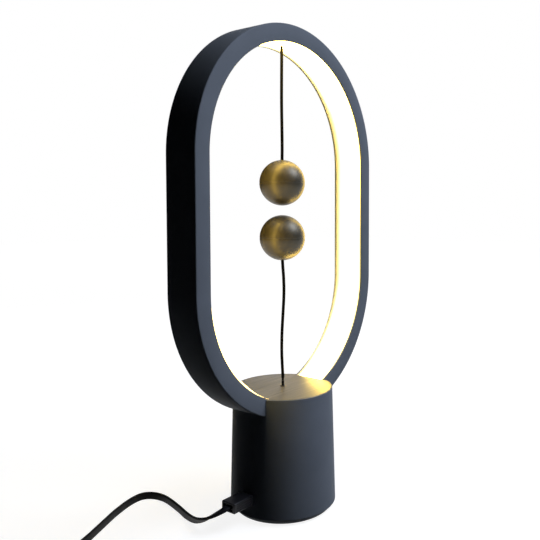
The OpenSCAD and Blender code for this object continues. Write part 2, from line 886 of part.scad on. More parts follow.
module pull_slider() {
    color("whitesmoke") difference() {
        union() {
            translate([-slider_x, 0.3 + guide_wall - guide_y, slider_z])
                cube([2 * slider_x, 2 * (guide_y - guide_wall - 0.3), slider_h]);
            translate([foot_x - 1, -1.8, foot_z]) cube([2, 3.6, slider_z - foot_z + past]);
        }
        translate([0, 0, slider_z - past]) {
            rod(cord_r, slider_h + 2 * past);
            rod(knot_r + 0.3, 2 * knot_r + past);
        }
    }
}

module pull_cord() {
    color("black") {
        translate([0, 0, slider_z + knot_r])
            rod(cord_r, lower_pivot_z - bend_reach - slider_z - knot_r);
        translate([0, 0, slider_z + knot_r]) sphere(knot_r, $fn = small_fn);
    }
}

module return_spring() {
    clear = spring_wire / 2 + 0.05;
    rise = spring_top_z - spring_z - 2 * clear;
    steps = 14 * spring_turns;
    path = [
        for (i = [0 : steps])
            [spring_r * cos(360 * spring_turns * i / steps), spring_r * sin(360 * spring_turns * i / steps),
                spring_z + clear + rise * i / steps]
    ];
    ways = travel(path);
    color("silver") skin_over([for (i = [0 : steps]) round_section(path[i], ways[i], spring_wire / 2, 6)]);
}

// ---- Balls and their cords ----

module half_space(up) {
    translate([-ball_d, -ball_d, up ? 0 : -2 * ball_d]) cube(2 * ball_d);
}

// Hollow half of a ball, the seam's edge eased; the half above its middle or the half below
module ball_shell(up) {
    intersection() {
        difference() {
            sphere(ball_r, $fn = ball_fn);
            sphere(ball_in_r, $fn = mid_fn);
            rotate_extrude($fn = ball_fn) translate([ball_r, 0]) rotate(45) square(seam_w, center = true);
        }
        half_space(up);
    }
}

// The half with the cord's hole at its pole, above z = 0
module ball_cord_half() {
    difference() {
        union() {
            ball_shell(true);
            intersection() {
                sphere(ball_r - ball_wall / 2, $fn = mid_fn);
                translate([0, 0, ball_in_r - ball_boss_t]) rod(ball_boss_r, ball_r);
            }
            translate([0, 0, -tongue_h]) difference() {
                cylinder(r = tongue_r, h = tongue_h + tongue_root, $fn = ball_fn);
                translate([0, 0, -past])
                    cylinder(r = tongue_r - tongue_t, h = tongue_h + tongue_root + 2 * past, $fn = ball_fn);
            }
        }
        rod(cord_r, 2 * ball_r);
    }
}

// The half that holds the magnet against the inside of its pole, below z = 0
module ball_magnet_half() {
    difference() {
        union() {
            ball_shell(false);
            intersection() {
                sphere(ball_r - ball_wall / 2, $fn = mid_fn);
                translate([0, 0, -ball_r])
                    cylinder(r = magnet_r + magnet_wall, h = ball_r - magnet_far + magnet_t, $fn = mid_fn);
            }
        }
        translate([0, 0, -magnet_far]) cylinder(r = magnet_r, h = magnet_t + past, $fn = mid_fn);
    }
}

module ball_magnet() {
    translate([0, 0, -magnet_far]) cylinder(r = magnet_r, h = magnet_t, $fn = mid_fn);
}

// Cord that comes down from its bend and ends in a knot inside the ball
module ball_cord(from_z, ball_z) {
    knot_z = ball_z + ball_in_r - ball_boss_t - knot_r;
    translate([0, 0, knot_z]) rod(cord_r, from_z - knot_z);
    translate([0, 0, knot_z]) sphere(knot_r, $fn = small_fn);
}

module at_upper_ball() {
    translate([0, 0, upper_ball_z]) children();
}

// The lower ball is the upper one turned over
module at_lower_ball() {
    translate([0, 0, lower_ball_z]) rotate([180, 0, 0]) children();
}

module upper_cord_bend() {
    color("black") translate([0, 0, upper_pivot_z]) sphere(cord_r, $fn = small_fn);
}

module upper_cord() {
    color("black") ball_cord(upper_pivot_z - bend_reach, upper_ball_z);
}

module upper_ball_cord_half() {
    color("darkkhaki") at_upper_ball() ball_cord_half();
}

module upper_ball_magnet_half() {
    color("darkkhaki") at_upper_ball() ball_magnet_half();
}

module upper_magnet() {
    color("silver") at_upper_ball() ball_magnet();
}

module lower_cord_bend() {
    color("black") translate([0, 0, lower_pivot_z]) sphere(cord_r, $fn = small_fn);
}

module lower_cord() {
    color("black") translate([0, 0, 2 * lower_ball_z]) mirror([0, 0, 1])
        ball_cord(2 * lower_ball_z - lower_pivot_z - bend_reach, lower_ball_z);
}

module lower_ball_cord_half() {
    color("darkkhaki") at_lower_ball() ball_cord_half();
}

module lower_ball_magnet_half() {
    color("darkkhaki") at_lower_ball() ball_magnet_half();
}

module lower_magnet() {
    color("silver") at_lower_ball() ball_magnet();
}

// ---- Lead ----

module plug_grip() {
    color("black") difference() {
        translate([plug_back_x, -plug_w / 2, window_z - plug_h / 2]) cube([plug_l, plug_w, plug_h]);
        // the stepped hollow that the lead comes out of
        translate([plug_back_x, 0, window_z]) cube([
            2 * plug_recess, plug_w - 2 * plug_recess_rim[0], plug_h - 2 * plug_recess_rim[1]
        ], center = true);
        // grip grooves along both sides
        for (side = [-1, 1], k = [0 : plug_ribs - 1])
            translate([
                plug_back_x + 3, side * plug_w / 2 - plug_rib_d,
                window_z - plug_h / 2 + (k + 0.75) * plug_h / (plug_ribs + 0.5)
            ]) cube([plug_l - 6, 2 * plug_rib_d, plug_h / plug_ribs / 3]);
    }
}

module plug_shell() {
    color("silver")
        translate([plug_x, 0, window_z]) sleeve(plug_shell_size, plug_shell_wall, plug_shell_back_t);
}

// The free lead, smoothed between its points
lead_path = smooth(lead_points, 2);
lead_centres = [for (p = lead_path) xyz(p)];

// Middle line of the rolled lead: in along one half, round the fold, out along the other
function coil_xy(r, angle) = [coil_centre[0] + r * cos(angle), coil_centre[1] + r * sin(angle), coil_z];

function fold_xy(side, angle) =
    let (c = coil_xy(side * coil_in_r / 2, coil_end))
    [c[0] + coil_in_r / 2 * cos(angle), c[1] + coil_in_r / 2 * sin(angle), coil_z];

function strand_r(angle) = coil_in_r + coil_pitch * (coil_end - angle) / 360;

coil_path = concat(
    [for (a = [coil_start : coil_step : coil_end - coil_step]) coil_xy(strand_r(a), a)],
    [for (a = [0 : coil_step : 180 - coil_step]) fold_xy(1, coil_end + a)],
    [for (a = [0 : coil_step : 180 - coil_step]) fold_xy(-1, coil_end - a)],
    [for (a = [coil_end : -coil_step : coil_start]) coil_xy(strand_r(a), a + 180)]
);

// From the roll to the grip of the computer plug
tail_start = coil_path[len(coil_path) - 1];
usb_a_way = [cos(usb_a_turn), sin(usb_a_turn), 0];
tail_points = [
    [tail_start[0], tail_start[1], tail_start[2], 90],
    [-181, -25.5, 3.3, 90],
    [-195, -31, 3.3, 70],
    [-210, -36.5, 3.6, 20],
    [usb_a_back[0], usb_a_back[1], usb_a_grip_size[2] / 2, 0]
];
tail_path = smooth(tail_points, 3);
tail_centres = [for (p = tail_path) xyz(p)];

module flat_lead(centres, turns) {
    ways = travel(centres);
    color("black")
        skin_over([for (i = [0 : len(centres) - 1]) flat_section(centres[i], ways[i], turns[i])]);
}

module lead_cord() {
    centres = concat(lead_centres, [coil_path[0]]);
    flat_lead(centres, concat([for (p = lead_path) p[3]], [90]));
}

module lead_coil() {
    flat_lead(coil_path, [for (p = coil_path) 90]);
}

module lead_tail() {
    flat_lead(tail_centres, [for (p = tail_path) p[3]]);
}

// Band round the strands of the roll, on the side away from both ends
module coil_tie() {
    in_r = coil_in_r - lead_t / 2 - 0.5;
    out_r = coil_out_r + lead_t / 2 + 0.5;
    half = lead_w / 2 + 0.05;
    color("black") translate([coil_centre[0], coil_centre[1], coil_z]) rotate(coil_start - 90)
        difference() {
            translate([in_r - tie_t, -tie_w / 2, -half - tie_t])
                cube([out_r - in_r + 2 * tie_t, tie_w, 2 * (half + tie_t)]);
            translate([in_r, -tie_w, -half]) cube([out_r - in_r, 2 * tie_w, 2 * half]);
        }
}

module at_usb_a() {
    translate([usb_a_back[0], usb_a_back[1], 0]) rotate(usb_a_turn) children();
}

module usb_a_grip() {
    color("black") at_usb_a() difference() {
        translate([0, -usb_a_grip_size[1] / 2, 0]) cube(usb_a_grip_size);
        for (side = [-1, 1], k = [0 : 3])
            translate([
                usb_a_notch_x + usb_a_notch_pitch * k, side * usb_a_grip_size[1] / 2 - usb_a_notch_d, -past
            ]) cube([usb_a_notch_w, 2 * usb_a_notch_d, usb_a_grip_size[2] + 2 * past]);
    }
}

module usb_a_shell() {
    color("silver") at_usb_a() translate([usb_a_grip_size[0], 0, usb_a_grip_size[2] / 2]) difference() {
        sleeve(usb_a_shell_size, usb_a_wall, usb_a_back_t);
        // the two square catches in its upper side
        for (side = [-1, 1])
            translate([usb_a_hole_at[0], side * usb_a_hole_at[1], usb_a_shell_size[2] / 2])
                cube([usb_a_hole, usb_a_hole, 4 * usb_a_wall], center = true);
    }
}

module usb_a_tongue() {
    width = usb_a_shell_size[1] - 2 * usb_a_wall;
    color("white") at_usb_a()
        translate([
            usb_a_grip_size[0] + usb_a_back_t, -width / 2,
            usb_a_grip_size[2] / 2 - usb_a_shell_size[2] / 2 + usb_a_wall
        ]) cube([usb_a_shell_size[0] - 2 * usb_a_back_t, width, usb_a_tongue_t]);
}

echo(lead_length = length_of(lead_centres) + length_of(coil_path) + length_of(tail_centres));
echo(lamp_height = lamp_h, upper_pivot = upper_pivot_z, lower_pivot = lower_pivot_z);
echo(lever_angle = lever_angle, plunger_travel = plunger_travel, spring_top = spring_top_z);

ring_shell();
ring_back_cover();
diffuser();
led_strip();
leds();
strip_resistors();
anchor_block();
upper_cord_root();
arm_blocks();
arm_screws();
ring_cradle();
cradle_screws();
base_housing();
top_disc();
cord_eyelet();
base_plate();
plate_screws();
foot_pad();
ballast();
driver_board();
driver_chip();
driver_coil();
capacitors();
board_screws();
usb_socket();
usb_socket_tongue();
led_wire_red();
led_wire_black();
switch_wire_white();
switch_wire_blue();
switch_guide();
guide_screws();
switch_body();
switch_terminals();
switch_pins();
pull_slider();
pull_cord();
return_spring();
switch_lever();
switch_plunger();
lower_cord_bend();
lower_cord();
lower_ball_cord_half();
lower_ball_magnet_half();
lower_magnet();
upper_cord_bend();
upper_cord();
upper_ball_cord_half();
upper_ball_magnet_half();
upper_magnet();
plug_grip();
plug_shell();
lead_cord();
lead_coil();
lead_tail();
coil_tie();
usb_a_grip();
usb_a_shell();
usb_a_tongue();
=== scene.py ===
# %% [markdown]
# # A lamp that is switched on by two balls
#
# The lamp is an oval ring of light that stands in a round base. One ball hangs from the top of the
# ring, and one is tied to the base. Their magnets hold them a few millimetres apart in the air, and
# the pull on the lower cord works a switch inside the base.
#
# The measured model is loaded first. It gives the true size and place of every piece, and it says
# which pieces move together. What is made here is the dress that goes over it. The scene is in
# metres, and most sizes below are written in millimetres, times mm.

# %% Load the measured model
import json
import math

import bpy
import bmesh
from mathutils import Matrix, Vector


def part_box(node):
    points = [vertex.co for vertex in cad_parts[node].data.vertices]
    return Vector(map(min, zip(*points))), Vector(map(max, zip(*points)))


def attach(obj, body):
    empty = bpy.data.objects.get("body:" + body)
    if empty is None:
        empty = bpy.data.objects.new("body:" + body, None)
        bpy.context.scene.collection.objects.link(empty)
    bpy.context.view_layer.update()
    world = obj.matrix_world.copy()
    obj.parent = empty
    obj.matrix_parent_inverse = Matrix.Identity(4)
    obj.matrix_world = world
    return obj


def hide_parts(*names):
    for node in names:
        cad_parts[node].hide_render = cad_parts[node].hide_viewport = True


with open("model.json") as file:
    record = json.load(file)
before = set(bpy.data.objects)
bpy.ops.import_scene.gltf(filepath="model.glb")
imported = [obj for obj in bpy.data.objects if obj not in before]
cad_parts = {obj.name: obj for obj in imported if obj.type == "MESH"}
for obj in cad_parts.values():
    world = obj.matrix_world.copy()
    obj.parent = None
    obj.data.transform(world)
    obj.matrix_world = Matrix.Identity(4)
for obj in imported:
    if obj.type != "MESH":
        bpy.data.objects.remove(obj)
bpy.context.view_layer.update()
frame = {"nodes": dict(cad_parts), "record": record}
mm = 0.001

# %% [markdown]
# ## The camera
#
# The lamp is seen from its left front, level with the gap between the balls, with a lens near the
# angle of the eye. The camera could be tilted until the lamp fills the frame, but then upright edges
# lean. So it looks almost level, and the lens is shifted a little, as a view camera does.

# %% Camera
camera_place = Vector((-420.75, -360.14, 252.63)) * mm
camera_turn = math.radians(53.46)
camera_dip = math.radians(2.89)
lens_length = 43.89
sensor_width = 36
shift_across = -0.1085
shift_up = -0.0548
nearest_seen = 10 * mm

looking = Vector((
    math.sin(camera_turn) * math.cos(camera_dip),
    math.cos(camera_turn) * math.cos(camera_dip),
    -math.sin(camera_dip),
))
camera = bpy.data.objects.new("camera", bpy.data.cameras.new("camera"))
bpy.context.scene.collection.objects.link(camera)
camera.location = camera_place
camera.rotation_euler = looking.to_track_quat("-Z", "Y").to_euler()
camera.data.lens = lens_length
camera.data.sensor_width = sensor_width
camera.data.shift_x = shift_across
camera.data.shift_y = shift_up
camera.data.clip_start = nearest_seen
bpy.context.scene.camera = camera
print("camera to lamp in mm:", round(camera_place.xy.length / mm))

# %% [markdown]
# ## Rounded outlines
#
# Nearly every visible piece is an outline carried along a line: the ring's face along an oval, the
# base's wall round a circle, the lead along its route. Moulded parts have small rounds on every edge,
# and those rounds catch the light, so hardly an edge here is left razor sharp. A bevel could round
# the finished mesh, but an outline that is rounded first gives each edge a radius of its own.

# %% Rounded outlines
def rounded(corners, steps=4):
    """Closed outline through (u, v, radius) corners, each corner cut by an arc of that radius."""
    outline = []
    for i, (u, v, radius) in enumerate(corners):
        corner = Vector((u, v))
        before = (Vector(corners[i - 1][:2]) - corner).normalized()
        after = (Vector(corners[(i + 1) % len(corners)][:2]) - corner).normalized()
        if radius == 0:
            outline.append(corner)
            continue
        half = before.angle(after) / 2
        reach = radius / math.tan(half)
        centre = corner + (before + after).normalized() * radius / math.sin(half)
        first = corner + before * reach - centre
        last = corner + after * reach - centre
        start = math.atan2(first.y, first.x)
        sweep = math.remainder(math.atan2(last.y, last.x) - start, 2 * math.pi)
        for k in range(steps + 1):
            a = start + sweep * k / steps
            outline.append(centre + radius * Vector((math.cos(a), math.sin(a))))
    return outline


def box_outline(width, height, radius, steps=4):
    """Rounded rectangle about the middle."""
    w, h = width / 2, height / 2
    return rounded([(w, -h, radius), (w, h, radius), (-w, h, radius), (-w, -h, radius)], steps)


print("points round a box outline:", len(box_outline(2, 1, 0.1)))

# %% [markdown]
# ## From outlines to a mesh
#
# A mesh is a list of points and a list of faces. Here the points come in rings, one outline after
# another. Four-sided faces join each ring to the next, and a face closes each end, unless the last
# ring meets the first. Smooth shading hides the facets, and edges with a sharper fold stay crisp.

# %% From outlines to a mesh
smooth_up_to = math.radians(32)
weld_distance = 0.002 * mm


def shade(piece):
    """Shades a piece smooth and keeps its sharper edges crisp."""
    piece.data.polygons.foreach_set("use_smooth", [True] * len(piece.data.polygons))
    piece.data.set_sharp_from_angle(angle=smooth_up_to)


def tidy_mesh(piece):
    """Welds doubled points, turns the faces outward, and shades the piece."""
    shape = bmesh.new()
    shape.from_mesh(piece.data)
    bmesh.ops.remove_doubles(shape, verts=shape.verts, dist=weld_distance)
    bmesh.ops.dissolve_degenerate(shape, edges=shape.edges, dist=weld_distance)
    bmesh.ops.recalc_face_normals(shape, faces=shape.faces)
    shape.to_mesh(piece.data)
    shape.free()
    shade(piece)


def skin(name, rings, loop=False):
    """Mesh object over a row of closed rings; loop joins the last ring to the first."""
    count = len(rings[0])
    faces = []
    for i in range(len(rings) if loop else len(rings) - 1):
        here, there = i * count, (i + 1) % len(rings) * count
        for k in range(count):
            following = (k + 1) % count
            faces.append((here + k, here + following, there + following, there + k))
    if not loop:
        faces.append(tuple(reversed(range(count))))
        faces.append(tuple(range((len(rings) - 1) * count, len(rings) * count)))
    mesh = bpy.data.meshes.new(name)
    mesh.from_pydata([p for ring in rings for p in ring], [], faces)
    made = bpy.data.objects.new(name, mesh)
    bpy.context.scene.collection.objects.link(made)
    tidy_mesh(made)
    return made


print("folds stay crisp above", round(math.degrees(smooth_up_to)), "degrees")

# %% [markdown]
# ## The route of the power lead
#
# The flat lead leaves a small plug on the base's left side, drops to the table, twists on edge and
# runs out of the picture in one lazy wave. Each point gives the place in millimetres, and how far the
# ribbon is turned there, in degrees. A smooth curve goes through them. The route repeats the
# measured model's, so that the lead lies where the solids are.

# %% Route on the table
lead_points = [
    (-64.3, 0, 20, 0), (-66.9, 0, 20, 0), (-70.9, 1.5, 18.5, 0), (-74.4, 6, 15.5, 0),
    (-76.4, 13, 11.5, 15), (-75.9, 22, 7.5, 45), (-73.5, 32, 4.5, 75), (-70, 44, 3.2, 90),
    (-66.5, 55, 3.1, 90), (-62.5, 70, 3.1, 90), (-60.5, 81, 3.1, 90), (-61, 90, 3.1, 90),
    (-64, 97, 3.1, 90), (-69.5, 101, 3.1, 90), (-77.5, 101, 3.1, 90), (-87.5, 98.5, 3.1, 90),
    (-95.5, 95.5, 3.1, 90), (-104, 92, 3.1, 90), (-115, 86.5, 3.1, 90), (-128, 80, 3.1, 90),
    (-139, 74.5, 3.1, 90), (-152, 69, 3.1, 90), (-166, 63.5, 3.1, 90), (-181, 57.5, 3.1, 90),
]
tail_points = [(-181, -25.5, 3.3, 90), (-195, -31, 3.3, 70), (-210, -36.5, 3.6, 20), (-225, -42, 4, 0)]
steps_between = 5


def smooth(points, steps):
    """Points along a smooth curve through the given points, steps to each stretch."""
    ends = [points[0], *points, points[-1]]
    line = []
    for i in range(len(points) - 1):
        a, b, c, d = (Vector(p) for p in ends[i:i + 4])
        for k in range(steps):
            t = k / steps
            line.append(0.5 * (2 * b + (c - a) * t + (2 * a - 5 * b + 4 * c - d) * t * t
                               + (3 * b - 3 * c + d - a) * t ** 3))
    return [*line, Vector(points[-1])]


print("points chosen by hand:", len(lead_points) + len(tail_points))

# %% [markdown]
# ## The roll of the lead
#
# The photograph doesn't show the rest of the lead. It is put away as such leads are sold: folded at
# its middle, rolled on edge into a flat spiral, and held by a band. Both halves of the lead lie in
# the same spiral, half a turn apart, and meet in two small half circles at the middle.

# %% Route in the roll
roll_centre = (-181, 15)
roll_inner = 25
roll_pitch = 5.8
roll_turns = 2.25
roll_start = 113
roll_end = roll_start + 360 * roll_turns
roll_step = 7.5
roll_height = 3.6


def on_roll(radius, angle):
    """Point of the roll, on edge, at a radius and an angle."""
    a = math.radians(angle)
    return (roll_centre[0] + radius * math.cos(a), roll_centre[1] + radius * math.sin(a),
            roll_height, 90)


def on_fold(side, angle):
    """Point of the fold in the middle, on one of its two half circles."""
    x, y, z, turn = on_roll(side * roll_inner / 2, roll_end)
    a = math.radians(angle)
    return (x + roll_inner / 2 * math.cos(a), y + roll_inner / 2 * math.sin(a), z, turn)


def roll_radius(angle):
    """Radius of the spiral, which shrinks by one pitch each turn."""
    return roll_inner + roll_pitch * (roll_end - angle) / 360


windings = [roll_start + roll_step * i for i in range(round((roll_end - roll_start) / roll_step))]
half_turn = [roll_step * i for i in range(round(180 / roll_step))]
roll = [on_roll(roll_radius(a), a) for a in windings]
roll += [on_fold(1, roll_end + a) for a in half_turn]
roll += [on_fold(-1, roll_end - a) for a in half_turn]
roll += [on_roll(roll_radius(a), a + 180) for a in reversed([*windings, roll_end])]

route = smooth(lead_points, steps_between)
route += [Vector(p) for p in roll]
route += smooth([roll[-1], *tail_points], steps_between)[1:]
lead_line = [p.xyz * mm for p in route]
lead_turns = [math.radians(p.w) for p in route]
lead_length = sum((b - a).length for a, b in zip(lead_line, lead_line[1:]))
print("lead in m:", round(lead_length, 3), "points:", len(lead_line))

# %% [markdown]
# ## The lead's jacket
#
# The lead is flat with rounded edges, like a ribbon with some thickness. Its outline is carried along
# the route, and turned about it, so the ribbon lies flat at the plug and stands on edge on the table.
# A curve with a bevel could not twist at chosen places, so the rings are set one by one.

# %% Lead
lead_width = 6.2 * mm
lead_thickness = 2.4 * mm
lead_edge = 0.95 * mm


def along_line(line, outline, turns=None, square_to=Vector((0, 0, 1))):
    """Rings of an outline set square to a line; turns twist the outline's wide side upright."""
    rings = []
    for i, here in enumerate(line):
        way = (line[min(i + 1, len(line) - 1)] - line[max(i - 1, 0)]).normalized()
        level = square_to.cross(way).normalized()
        up = way.cross(level)
        turn = turns[i] if turns else 0
        wide = math.cos(turn) * level + math.sin(turn) * up
        thin = way.cross(wide)
        rings.append([here + u * wide + v * thin for u, v in outline])
    return rings


lead_outline = box_outline(lead_width, lead_thickness, lead_edge)
lead = skin("power_lead", along_line(lead_line, lead_outline, lead_turns))
print("faces of the lead:", len(lead.data.polygons))

# %% [markdown]
# ## What a finish is made of
#
# A finish is a small tree of nodes, which are boxes that pass numbers and colours on. A picture of
# the surface would do too, but it shows seams and blurs when seen close, and numbers don't. These
# helpers add a node, do one sum, stretch one span of numbers over another, and mix two colours.

# %% Helpers for nodes
first_colour = 6
second_colour = 7
mixed_colour = 2


def node(tree, kind, inputs=None, **settings):
    """Adds a node; an input is a value, or another node's output to link."""
    made = tree.nodes.new(kind)
    for key, value in settings.items():
        setattr(made, key, value)
    for key, value in (inputs or {}).items():
        if isinstance(value, bpy.types.NodeSocket):
            tree.links.new(value, made.inputs[key])
        else:
            made.inputs[key].default_value = value
    return made


def reckon(tree, operation, *numbers):
    """One step of arithmetic, on values or sockets."""
    return node(tree, "ShaderNodeMath", dict(enumerate(numbers)), operation=operation).outputs[0]


def from_to(tree, factor, low, high, start, end):
    """Turns factor from low..high into a number from start to end."""
    ranged = node(tree, "ShaderNodeMapRange", {
        "Value": factor, "From Min": low, "From Max": high, "To Min": start, "To Max": end,
    })
    return ranged.outputs["Result"]


def blended(tree, factor, first, second):
    """Colour between two colours, each a value or a socket."""
    first, second = (
        c if isinstance(c, bpy.types.NodeSocket) else (*c, 1.0) for c in (first, second))
    mixed = node(tree, "ShaderNodeMix", data_type="RGBA", inputs={
        0: factor, first_colour: first, second_colour: second})
    return mixed.outputs[mixed_colour]


print("colour sockets of the mixing node:", first_colour, second_colour, "and out at", mixed_colour)

# %% [markdown]
# ## One recipe for every finish
#
# All finishes share one idea. A coarse noise shifts the colour a little, as paint and moulding do,
# and a fine noise of a real size in millimetres gives the surface its grain and breaks up the gloss.
# The colours are linear, as the shader wants them. A number that is the same all over is set on the
# shader itself.

# %% Recipe of a finish
finishes = {}
noise_middle = (0.35, 0.65)
noise_wide = (0.3, 0.7)


def speckle(tree, size, along=(1, 1, 1), detail=3.0):
    """Noise whose patches are size across, in metres; along stretches it by axis."""
    place = node(tree, "ShaderNodeTexCoord").outputs["Object"]
    scale = [k / size for k in along]
    scaled = node(tree, "ShaderNodeMapping", {"Vector": place, "Scale": scale})
    spots = node(tree, "ShaderNodeTexNoise", {
        "Vector": scaled.outputs["Vector"], "Scale": 1.0, "Detail": detail,
    })
    return spots.outputs["Fac"]


def dent(tree, shader, height, depth):
    """Lets a pattern of heights dent the surface, depth deep."""
    bump = node(tree, "ShaderNodeBump", {"Height": height, "Distance": depth, "Strength": 1.0})
    tree.links.new(bump.outputs["Normal"], shader.inputs["Normal"])


def finish(slot, dark, light, rough, patch, grain, depth=0.0, along=(1, 1, 1), **sockets):
    """A finish whose colour drifts between dark and light and whose gloss follows its grain.

    Without a depth the grain makes no dents, for a finish that gets a pattern of its own."""
    material = bpy.data.materials.new(slot)
    material.use_nodes = True
    tree = material.node_tree
    shader = tree.nodes["Principled BSDF"]
    drift = from_to(tree, speckle(tree, patch, along), *noise_middle, 0.0, 1.0)
    fine = speckle(tree, grain)
    tree.links.new(blended(tree, drift, dark, light), shader.inputs["Base Color"])
    tree.links.new(from_to(tree, fine, *noise_wide, *rough), shader.inputs["Roughness"])
    if depth:
        dent(tree, shader, fine, depth)
    for key, value in sockets.items():
        shader.inputs[key.replace("_", " ")].default_value = value
    finishes[slot] = material
    return tree, shader


print("span of the noise that shifts the colour:", noise_middle)

# %% [markdown]
# ## Plastic of the shell and the lead
#
# Ring and base are moulded in one blue-grey plastic with a fine spark-eroded grain, so matt that it
# has next to no shine. The lead and the plugs are soft black plastic, a little shinier. The shell's
# colours are lighter than they look in the picture, because its faces stand aslant to the light.

# %% Finishes of the shell and the lead
shell_dark = (0.184, 0.206, 0.238)
shell_light = (0.204, 0.229, 0.264)
for slot in ("ring_plastic", "base_plastic"):
    finish(slot, shell_dark, shell_light, rough=(0.46, 0.58), patch=40 * mm, grain=0.3 * mm,
           depth=0.006 * mm, Specular_IOR_Level=0.015)
finish("lead_jacket", (0.006, 0.006, 0.008), (0.010, 0.010, 0.013), rough=(0.38, 0.5),
       patch=12 * mm, grain=0.5 * mm, depth=0.01 * mm, Specular_IOR_Level=0.08)
finish("grip", (0.010, 0.010, 0.013), (0.016, 0.016, 0.020), rough=(0.34, 0.44),
       patch=6 * mm, grain=0.25 * mm, depth=0.01 * mm, Specular_IOR_Level=0.22)
print("finishes so far:", sorted(finishes))

# %% [markdown]
# ## Paint on the balls
#
# The paint is a dull olive gold with a little metal in it, and no clear coat. Most of the gold comes
# from the warm light of the ring, which shows as a soft band on one side and as a bright rim on the
# other. Plain paint would show no band, and bare metal would mirror the white floor. So the shader
# is part metal. The pale highlight is the studio light.

# %% Ball finish
ball_shade = (0.078, 0.069, 0.046)
ball_gold = (0.088, 0.078, 0.054)
finish("ball", ball_shade, ball_gold, rough=(0.38, 0.44), patch=9 * mm, grain=0.22 * mm,
       depth=0.0012 * mm, Metallic=0.40, Specular_IOR_Level=0.55)
print("ball gold:", ball_gold)

# %% [markdown]
# ## Veneer of the disc
#
# Wood grain is noise that is stretched along the tree, here from side to side. A broad one makes the
# bands of colour. A fine one makes the pores, which also dent the surface a little. A third one is
# used only near its highest and lowest values, where it gives a few dark and a few light streaks.

# %% Disc finish
wood_dark = (0.082, 0.073, 0.050)
wood_light = (0.106, 0.095, 0.068)
wood_pore = (0.040, 0.036, 0.028)
dark_streak = (0.028, 0.025, 0.021)
light_streak = (0.200, 0.184, 0.152)
pore_depth = 0.02 * mm

tree, shader = finish("disc", wood_dark, wood_light, rough=(0.40, 0.50), patch=2.6 * mm,
                      along=(0.035, 1, 1), grain=0.4 * mm, Specular_IOR_Level=0.8)
wood = shader.inputs["Base Color"].links[0].from_socket
pores = speckle(tree, 0.5 * mm, along=(0.03, 1, 1))
streaks = speckle(tree, 1.5 * mm, along=(0.02, 1, 1), detail=0.0)
wood = blended(tree, from_to(tree, pores, 0.30, 0.46, 0.60, 0.0), wood, wood_pore)
wood = blended(tree, from_to(tree, streaks, 0.70, 0.74, 0.0, 0.7), wood, dark_streak)
wood = blended(tree, from_to(tree, streaks, 0.30, 0.26, 0.0, 0.5), wood, light_streak)
tree.links.new(wood, shader.inputs["Base Color"])
dent(tree, shader, pores, pore_depth)
print("nodes in the disc's finish:", len(tree.nodes))

# %% [markdown]
# ## Glow across the light band
#
# The inside of the ring is a strip of milky plastic with lights behind it. It is so bright that a
# camera sees it as white, and only its edges, where less light comes through, show the warm colour of
# the lights. A lamp inside the ring could light it, but that is slow and grainy. So the strip gives
# off light itself, strong in the middle, and weaker and paler towards its edges.

# %% Glow across the band
band_half = 14.3 * mm
band_amber = (1.0, 0.67, 0.13)
band_cream = (1.0, 0.90, 0.42)
band_strength = 8.5
edge_strength = 0.2
left_front_dim = 0.2
right_front_dim = 0.6
side_reach = 60 * mm


def axes_of(tree):
    """The point on the surface, in metres, as three sockets X, Y and Z."""
    place = node(tree, "ShaderNodeTexCoord").outputs["Object"]
    return node(tree, "ShaderNodeSeparateXYZ", {"Vector": place}).outputs


tree, shader = finish("diffuser", (0.80, 0.78, 0.72), (0.84, 0.82, 0.77), rough=(0.3, 0.4),
                      patch=18 * mm, grain=0.6 * mm, depth=0.002 * mm)
axes = axes_of(tree)
front_dim = from_to(tree, axes["X"], -side_reach, side_reach, left_front_dim, right_front_dim)
front_edge = from_to(tree, axes["Y"], 0.9 * mm - band_half, 0.1 * mm - band_half, 0.0, front_dim)
back_edge = from_to(tree, axes["Y"], band_half - 8.5 * mm, band_half - 0.8 * mm, 0.0, 1.0)
edge = reckon(tree, "MAXIMUM", back_edge, front_edge)
inner_share = reckon(tree, "POWER", reckon(tree, "SUBTRACT", 1.0, edge), 2.0)
across_band = from_to(tree, inner_share, 0.0, 1.0, edge_strength, band_strength)
tree.links.new(blended(tree, edge, band_amber, band_cream), shader.inputs["Emission Color"])
print("light band strength:", band_strength)

# %% [markdown]
# ## Glow along the light band
#
# White is white in the picture, however strong it is, so the strength along the band shows only in
# what it lights. It is set by that: more at the top, for the upper ball, more at the right foot, for
# the glow on the disc, and less at the left foot, where it would light the base's front too much. The
# band's front edge keeps its strength there, and shows as a thin bright line.

# %% Glow along the band
top_strength = 2.8
top_span = (340 * mm, 380 * mm)
foot_span = (180 * mm, 120 * mm)
left_foot_gain = -0.75
right_foot_gain = 1.7

face = from_to(tree, axes["Y"], -band_half, 1.5 * mm - band_half, 0.0, 1.0)
near_feet = from_to(tree, axes["Z"], *foot_span, 0.0, face)
sideways = from_to(tree, axes["X"], -side_reach, side_reach, left_foot_gain, right_foot_gain)
foot_gain = reckon(tree, "MULTIPLY_ADD", near_feet, sideways, 1.0)
top_gain = from_to(tree, axes["Z"], *top_span, 1.0, top_strength)
along_band = reckon(tree, "MULTIPLY", foot_gain, top_gain)
glow = reckon(tree, "MULTIPLY", across_band, along_band)
tree.links.new(glow, shader.inputs["Emission Strength"])
print("nodes in the light band's finish:", len(tree.nodes))

# %% [markdown]
# ## Finishes of what is inside
#
# The pieces inside are seldom seen, but each has its own finish, so that the lamp still reads well
# when a cover is taken off: bright metals, plastics of several colours, a green board and foam. Each
# kind has one recipe, and a table gives the colours.

